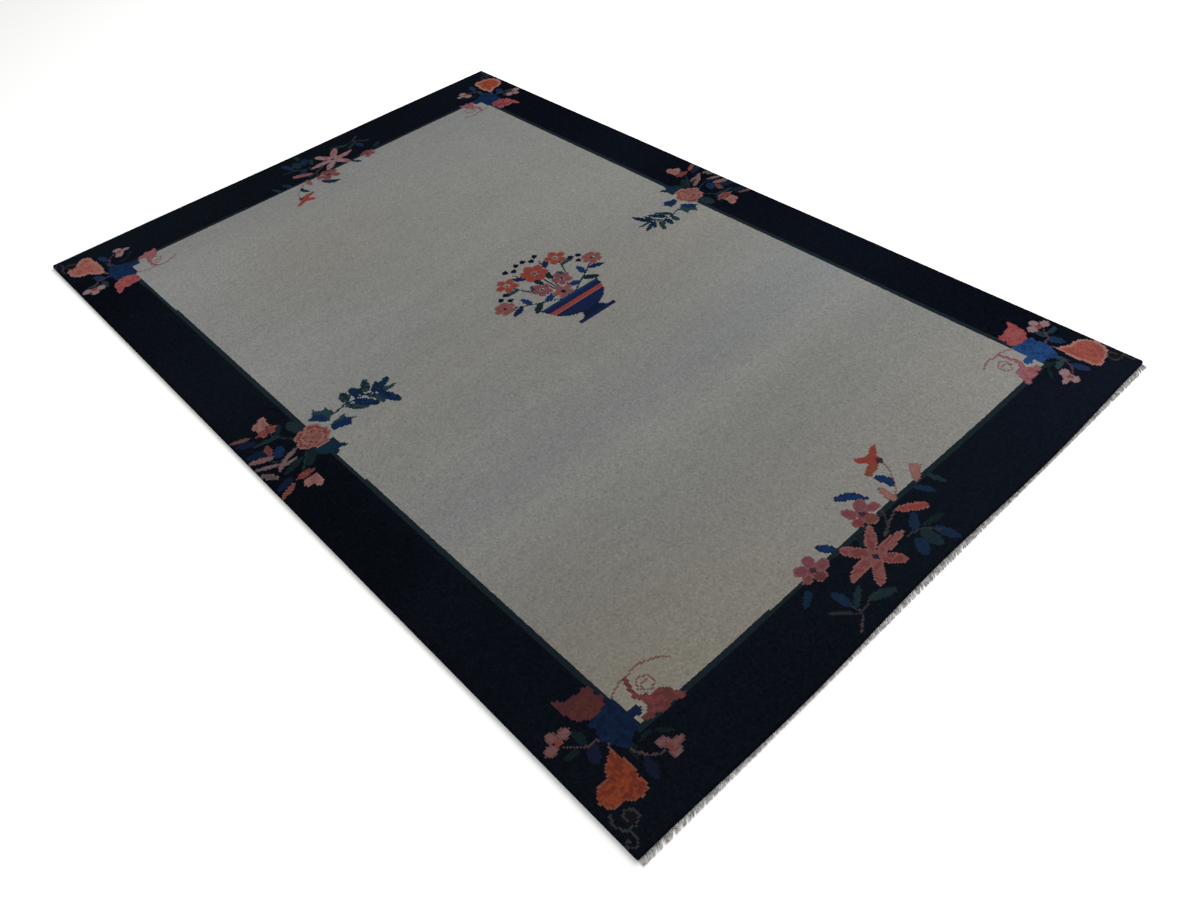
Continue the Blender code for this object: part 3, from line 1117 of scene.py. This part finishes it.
def woven_loops():
    """The flat side of the weave: rows of small wool loops between thin cotton wefts."""
    finish, tree, shader = new_finish("wool loops on cotton weft", 0.9)
    wool = add_node(tree, "ShaderNodeAttribute", attribute_name="wool")
    place = add_node(tree, "ShaderNodeTexCoord").outputs["Object"]
    rows = add_node(tree, "ShaderNodeTexWave", {
        "Vector": place, "Scale": LOOP_TURN / (WAVE_TURN * KNOT), "Distortion": 0.6, "Detail Scale": 40.0,
    }, bands_direction="Y")
    shade = add_node(tree, "ShaderNodeMapRange", {
        "Value": rows.outputs["Fac"], "To Min": 0.78, "To Max": 1.12,
    })
    dyed = add_node(tree, "ShaderNodeVectorMath", {
        0: wool.outputs["Color"], "Scale": shade.outputs["Result"],
    }, operation="SCALE")
    tree.links.new(dyed.outputs["Vector"], shader.inputs["Base Color"])
    bump = add_node(tree, "ShaderNodeBump", {
        "Height": rows.outputs["Fac"], "Strength": 0.4, "Distance": LOOP_RELIEF,
    })
    tree.links.new(bump.outputs["Normal"], shader.inputs["Normal"])
    return finish


back_mesh = woven_back()
back_mesh.materials.append(woven_loops())
back = placed("woven_back", back_mesh)
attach(back, "root")
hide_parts("knotted_slab")

# The overcast sides.
# Each long side's outer warps are wrapped with navy wool, round and round, as it is woven.
WRAP_PITCH = 0.0030
WRAP_RADIUS = 0.0019
WRAP_VALLEY = 0.74
WRAP_SIDES = 8
SIDE_SHORT = 0.0060
PLY_SPAN = 0.00071
PLY_RELIEF = 0.0005
OVERCAST_NAVY = "#080b12"
OVERCAST_WORN = "#10151f"


def geometry_tree(name, inputs):
    """An empty Geometry Nodes tree with named inputs, and the nodes for its two ends."""
    tree = bpy.data.node_groups.new(name, "GeometryNodeTree")
    tree.interface.new_socket("Geometry", in_out="INPUT", socket_type="NodeSocketGeometry")
    for socket, kind in inputs.items():
        tree.interface.new_socket(socket, in_out="INPUT", socket_type=kind)
    tree.interface.new_socket("Geometry", in_out="OUTPUT", socket_type="NodeSocketGeometry")
    return tree, add_node(tree, "NodeGroupInput"), add_node(tree, "NodeGroupOutput")


def grown(name, base_mesh, tree, values):
    """The object whose plain mesh a tree makes from a base, with the tree's inputs set."""
    host = placed(name, base_mesh)
    growth = host.modifiers.new("growth", "NODES")
    growth.node_group = tree
    for item in tree.interface.items_tree:
        if item.in_out == "INPUT" and item.name in values:
            growth[item.identifier] = values[item.name]
    made = bpy.data.meshes.new_from_object(host.evaluated_get(bpy.context.evaluated_depsgraph_get()))
    host.modifiers.remove(growth)
    host.data = made
    made.name = name
    return host


def laid_line(points):
    """A base mesh of one open line."""
    mesh = bpy.data.meshes.new("line")
    mesh.from_pydata(points, [(i, i + 1) for i in range(len(points) - 1)], [])
    return mesh


def wrapped_cord():
    """A round cord of wraps along a line: crest, valley, crest, valley."""
    tree, ends, out = geometry_tree("wrapped cord", {
        "Rings": "NodeSocketInt",
        "Sides": "NodeSocketInt",
        "Radius": "NodeSocketFloat",
        "Valley": "NodeSocketFloat",
        "Yarn": "NodeSocketMaterial",
    })
    line = add_node(tree, "GeometryNodeMeshToCurve", {"Mesh": ends.outputs["Geometry"]})
    rings = add_node(tree, "GeometryNodeResampleCurve", {
        "Curve": line.outputs[0], "Count": ends.outputs["Rings"],
    })
    count = add_node(tree, "GeometryNodeInputIndex")
    parity = add_node(tree, "ShaderNodeMath", {0: count.outputs[0], 1: 2.0}, operation="MODULO")
    girth = add_node(tree, "ShaderNodeMapRange", {
        "Value": parity.outputs[0], "To Min": 1.0, "To Max": ends.outputs["Valley"],
    })
    ring = add_node(tree, "GeometryNodeCurvePrimitiveCircle", {
        "Resolution": ends.outputs["Sides"], "Radius": ends.outputs["Radius"],
    })
    cord = add_node(tree, "GeometryNodeCurveToMesh", {
        "Curve": rings.outputs[0],
        "Profile Curve": ring.outputs[0],
        "Scale": girth.outputs["Result"],
        "Fill Caps": True,
    })
    real = add_node(tree, "GeometryNodeRealizeInstances", {"Geometry": cord.outputs[0]})
    dressed = add_node(tree, "GeometryNodeSetMaterial", {
        "Geometry": real.outputs[0], "Material": ends.outputs["Yarn"],
    })
    tree.links.new(dressed.outputs[0], out.inputs[0])
    return tree


def wrapping_wool():
    """Thick plied wool, wrapped tight: matt and nearly black, with the ply just showing."""
    finish, tree, shader = new_finish("navy overcasting wool", 0.95)
    place = add_node(tree, "ShaderNodeTexCoord").outputs["Object"]
    ply = add_node(tree, "ShaderNodeTexNoise", {"Vector": place, "Scale": 1 / PLY_SPAN, "Detail": 2.0})
    shade = add_node(tree, "ShaderNodeMix", {
        "Factor": ply.outputs["Fac"],
        6: to_linear(OVERCAST_NAVY) + [1.0],
        7: to_linear(OVERCAST_WORN) + [1.0],
    }, data_type="RGBA")
    tree.links.new(shade.outputs[2], shader.inputs["Base Color"])
    bump = add_node(tree, "ShaderNodeBump", {
        "Height": ply.outputs["Fac"], "Strength": 0.5, "Distance": PLY_RELIEF,
    })
    tree.links.new(bump.outputs["Normal"], shader.inputs["Normal"])
    return finish


OVERCAST_WOOL = wrapping_wool()
WRAPPED_CORD = wrapped_cord()
half_side = PILE_LENGTH / 2 - SIDE_SHORT
for name, side in (("overcasting_left", -1), ("overcasting_right", 1)):
    middle = side * (PILE_WIDTH / 2 - WRAP_RADIUS)
    route = laid_line([(middle, -half_side, WRAP_RADIUS), (middle, half_side, WRAP_RADIUS)])
    piece = grown(name, route, WRAPPED_CORD, {
        "Rings": 2 * round(2 * half_side / WRAP_PITCH) + 1,
        "Sides": WRAP_SIDES,
        "Radius": WRAP_RADIUS,
        "Valley": WRAP_VALLEY,
        "Yarn": OVERCAST_WOOL,
    })
    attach(piece, "root")

# The last cotton wefts.
# Past the last row of knots the weaver beats in a few wefts of plain cotton, which hold the
# knots. They show at each short end as one low ridge between the wool and the fringe.
WEFT_RADIUS = 0.0012
WEFT_OUT = 0.0006
WEFT_PITCH = 0.0041
WEFT_SIDES = 6
KNOTS_PER_BEND = 4
DUSTY_SPAN = 0.00769
COTTON_FIBRE = 0.00038
FIBRE_RELIEF = 0.0003
COTTON_LIGHT = "#d0cfcc"
COTTON_GREY = "#858484"


def undyed_cotton():
    """Undyed cotton yarn, spun and plied: matt off-white, grey where dust sits in its twist."""
    finish, tree, shader = new_finish("undyed plied cotton", 0.92)
    place = add_node(tree, "ShaderNodeTexCoord").outputs["Object"]
    dust = add_node(tree, "ShaderNodeTexNoise", {"Vector": place, "Scale": 1 / DUSTY_SPAN, "Detail": 4.0})
    reach = add_node(tree, "ShaderNodeMapRange", {
        "Value": dust.outputs["Fac"], "From Min": 0.34, "From Max": 0.66,
    })
    shade = add_node(tree, "ShaderNodeMix", {
        "Factor": reach.outputs["Result"],
        6: to_linear(COTTON_GREY) + [1.0],
        7: to_linear(COTTON_LIGHT) + [1.0],
    }, data_type="RGBA")
    tree.links.new(shade.outputs[2], shader.inputs["Base Color"])
    fibres = add_node(tree, "ShaderNodeTexNoise", {
        "Vector": place, "Scale": 1 / COTTON_FIBRE, "Detail": 1.0,
    })
    bump = add_node(tree, "ShaderNodeBump", {
        "Height": fibres.outputs["Fac"], "Strength": 0.4, "Distance": FIBRE_RELIEF,
    })
    tree.links.new(bump.outputs["Normal"], shader.inputs["Normal"])
    return finish


COTTON = undyed_cotton()
for name, end in (("end_wefts_near", NEAR), ("end_wefts_far", FAR)):
    across = KNOT_X[1:-1:KNOTS_PER_BEND]
    reach = end * (PILE_LENGTH / 2 + end_bow(across, end) + WEFT_OUT)
    route = laid_line(np.stack([across, reach, np.full(across.shape, WEFT_RADIUS)], axis=1))
    piece = grown(name, route, WRAPPED_CORD, {
        "Rings": 2 * round(PILE_WIDTH / WEFT_PITCH) + 1,
        "Sides": WEFT_SIDES,
        "Radius": WEFT_RADIUS,
        "Valley": WRAP_VALLEY,
        "Yarn": COTTON,
    })
    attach(piece, "root")

# The fringes.
# The cotton warps run on past the last row of knots as twisted pairs. They lie slanted and
# close together on the floor, and are trimmed to one straight line.
FRINGE_REACH = 0.0078
FRINGE_SET_BACK = 0.0030
STRANDS = 500
PLY_RADIUS = 0.00080
STRAND_RADIUS = 0.00068
STRAND_TURNS = 2.2
STRAND_STEPS = 6
PLY_SIDES = 5
STRAND_ROOT = 0.0016
ROOT_CHANCE = 0.0004
HEIGHT_CHANCE = 0.0005
STRAND_BOW = 0.0010
TRIM = 0.0010
# The strands lean to the rug's left side, by an angle in degrees that swings slowly along the
# fringe. They stand straighter over the last stretch at each corner.
LEAN = 45.0
LEAN_SWING = 9.0
SWINGS = 40
LEAN_CHANCE = 6.0
LEAN_MOST = 60.0
STRAIGHT_LEFT, STRAIGHT_RIGHT = 0.030, 0.012
RIGHT_LEAN_KEPT = 0.3


def warp_fringe():
    """A twisted pair of yarns on each root, turned, lengthened and bowed as the root says."""
    tree, ends, out = geometry_tree("warp fringe", {
        "Ply radius": "NodeSocketFloat",
        "Strand radius": "NodeSocketFloat",
        "Turns": "NodeSocketFloat",
        "Cotton": "NodeSocketMaterial",
    })
    pair = add_node(tree, "GeometryNodeJoinGeometry")
    for half_turn in (0.0, math.pi):
        helix = add_node(tree, "GeometryNodeCurveSpiral", {
            "Resolution": STRAND_STEPS,
            "Rotations": ends.outputs["Turns"],
            "Start Radius": ends.outputs["Strand radius"],
            "End Radius": ends.outputs["Strand radius"],
            "Height": 1.0,
        })
        yarn = add_node(tree, "GeometryNodeTransform", {
            "Geometry": helix.outputs[0], "Rotation": (0.0, 0.0, half_turn),
        })
        tree.links.new(yarn.outputs[0], pair.inputs[0])
    roots = add_node(tree, "GeometryNodeMeshToPoints", {"Mesh": ends.outputs["Geometry"]})
    turn, size, bow = (
        add_node(tree, "GeometryNodeInputNamedAttribute", {"Name": each}, data_type="FLOAT_VECTOR")
        for each in ("turn", "size", "bow")
    )
    strands = add_node(tree, "GeometryNodeInstanceOnPoints", {
        "Points": roots.outputs[0],
        "Instance": pair.outputs[0],
        "Rotation": turn.outputs[0],
        "Scale": size.outputs[0],
    })
    real = add_node(tree, "GeometryNodeRealizeInstances", {"Geometry": strands.outputs[0]})
    run = add_node(tree, "GeometryNodeSplineParameter")
    curl = add_node(tree, "ShaderNodeMath", {0: run.outputs["Factor"], 1: 2.0}, operation="POWER")
    aside = add_node(tree, "ShaderNodeVectorMath", {
        0: bow.outputs[0], "Scale": curl.outputs[0],
    }, operation="SCALE")
    curled = add_node(tree, "GeometryNodeSetPosition", {
        "Geometry": real.outputs[0], "Offset": aside.outputs[0],
    })
    ring = add_node(tree, "GeometryNodeCurvePrimitiveCircle", {
        "Resolution": PLY_SIDES, "Radius": ends.outputs["Ply radius"],
    })
    cotton = add_node(tree, "GeometryNodeCurveToMesh", {
        "Curve": curled.outputs[0], "Profile Curve": ring.outputs[0], "Fill Caps": True,
    })
    dressed = add_node(tree, "GeometryNodeSetMaterial", {
        "Geometry": cotton.outputs[0], "Material": ends.outputs["Cotton"],
    })
    tree.links.new(dressed.outputs[0], out.inputs[0])
    return tree


def strand_roots(end, seed):
    """Where each warp pair leaves the weave, which way it lies, and how long it is."""
    draw = np.random.default_rng(seed)
    half = PILE_WIDTH / 2 - FRINGE_SET_BACK
    x = np.linspace(-half, half, STRANDS) + draw.normal(0, ROOT_CHANCE, STRANDS)
    y = PILE_LENGTH / 2 + end_bow(x, end) - STRAND_ROOT
    waves = np.interp(x, np.linspace(-half, half, SWINGS), draw.uniform(-1, 1, SWINGS))
    lean = LEAN + LEAN_SWING * waves + draw.normal(0, LEAN_CHANCE, STRANDS)
    lean = np.radians(np.clip(lean, -0.5 * LEAN, LEAN_MOST))
    lean *= np.clip((x + half) / STRAIGHT_LEFT, 0, 1)
    lean *= np.clip((half - x) / STRAIGHT_RIGHT, RIGHT_LEAN_KEPT, 1)
    tip = PILE_LENGTH / 2 + FRINGE_REACH - draw.uniform(0, TRIM, STRANDS)
    length = (tip - y) / np.cos(lean)
    height = STRAND_RADIUS + PLY_RADIUS + np.abs(draw.normal(0, HEIGHT_CHANCE, STRANDS))
    mesh = bpy.data.meshes.new("roots")
    mesh.from_pydata(np.stack([x, end * y, height], axis=1), [], [])
    none = np.zeros(STRANDS)
    for name, values in (
        ("turn", (none - end * math.pi / 2, none, end * lean)),
        ("size", (none + 1, none + 1, length)),
        ("bow", (draw.normal(0, STRAND_BOW, STRANDS), none, none)),
    ):
        made = mesh.attributes.new(name, "FLOAT_VECTOR", "POINT")
        made.data.foreach_set("vector", np.stack(values, axis=1).astype(np.float32).ravel())
    return mesh


WARP_FRINGE = warp_fringe()
for name, end, seed in (("cotton_fringe_near", NEAR, 41), ("cotton_fringe_far", FAR, 43)):
    piece = grown(name, strand_roots(end, seed), WARP_FRINGE, {
        "Ply radius": PLY_RADIUS,
        "Strand radius": STRAND_RADIUS,
        "Turns": STRAND_TURNS,
        "Cotton": COTTON,
    })
    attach(piece, "root")
    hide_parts("fringe_near" if end == NEAR else "fringe_far")

# The floor, the light and the camera.
# A plain pale floor under even light, seen from a standing person's height over one corner.
FLOOR_WHITE = "#fbfbfa"
FLOOR_HALF = 12.0
FLOOR_UNDER = 0.0002
SKY_STRENGTH = 0.62
SOFTBOXES = (
    ("softbox over the far right", (2.4, 0.6, 3.6), 3.0, 150.0),
    ("softbox over the near left", (-2.8, -1.2, 3.4), 2.4, 25.0),
)
CAMERA_PLACE = (-1.1710, -1.7139, 1.5322)
CAMERA_TURN = (44.959, 4.654, -42.840)
FOCAL_MM = 29.94
FRAME_MM = 36.0

floor_mesh = bpy.data.meshes.new("floor")
bm = bmesh.new()
bmesh.ops.create_grid(bm, x_segments=1, y_segments=1, size=FLOOR_HALF)
bm.to_mesh(floor_mesh)
bm.free()
floor_finish, _, floor_shader = new_finish("matt white floor", 0.9)
floor_shader.inputs["Base Color"].default_value = to_linear(FLOOR_WHITE) + [1.0]
floor_mesh.materials.append(floor_finish)
floor = placed("floor", floor_mesh)
floor.location.z = -FLOOR_UNDER

world = bpy.data.worlds.new("even studio light")
world.use_nodes = True
sky = world.node_tree.nodes["Background"]
sky.inputs["Color"].default_value = (1.0, 1.0, 1.0, 1.0)
sky.inputs["Strength"].default_value = SKY_STRENGTH
bpy.context.scene.world = world

for name, place, size, power in SOFTBOXES:
    softbox = bpy.data.lights.new(name, "AREA")
    softbox.size = size
    softbox.energy = power
    lamp = placed(name, softbox)
    lamp.location = place
    lamp.rotation_euler = (-Vector(place)).to_track_quat("-Z", "Y").to_euler()

camera_data = bpy.data.cameras.new("camera")
camera_data.lens = FOCAL_MM
camera_data.sensor_width = FRAME_MM
camera = placed("camera", camera_data)
camera.location = CAMERA_PLACE
camera.rotation_euler = Euler([math.radians(angle) for angle in CAMERA_TURN])
bpy.context.scene.camera = camera
bpy.context.scene.view_settings.view_transform = "Standard"
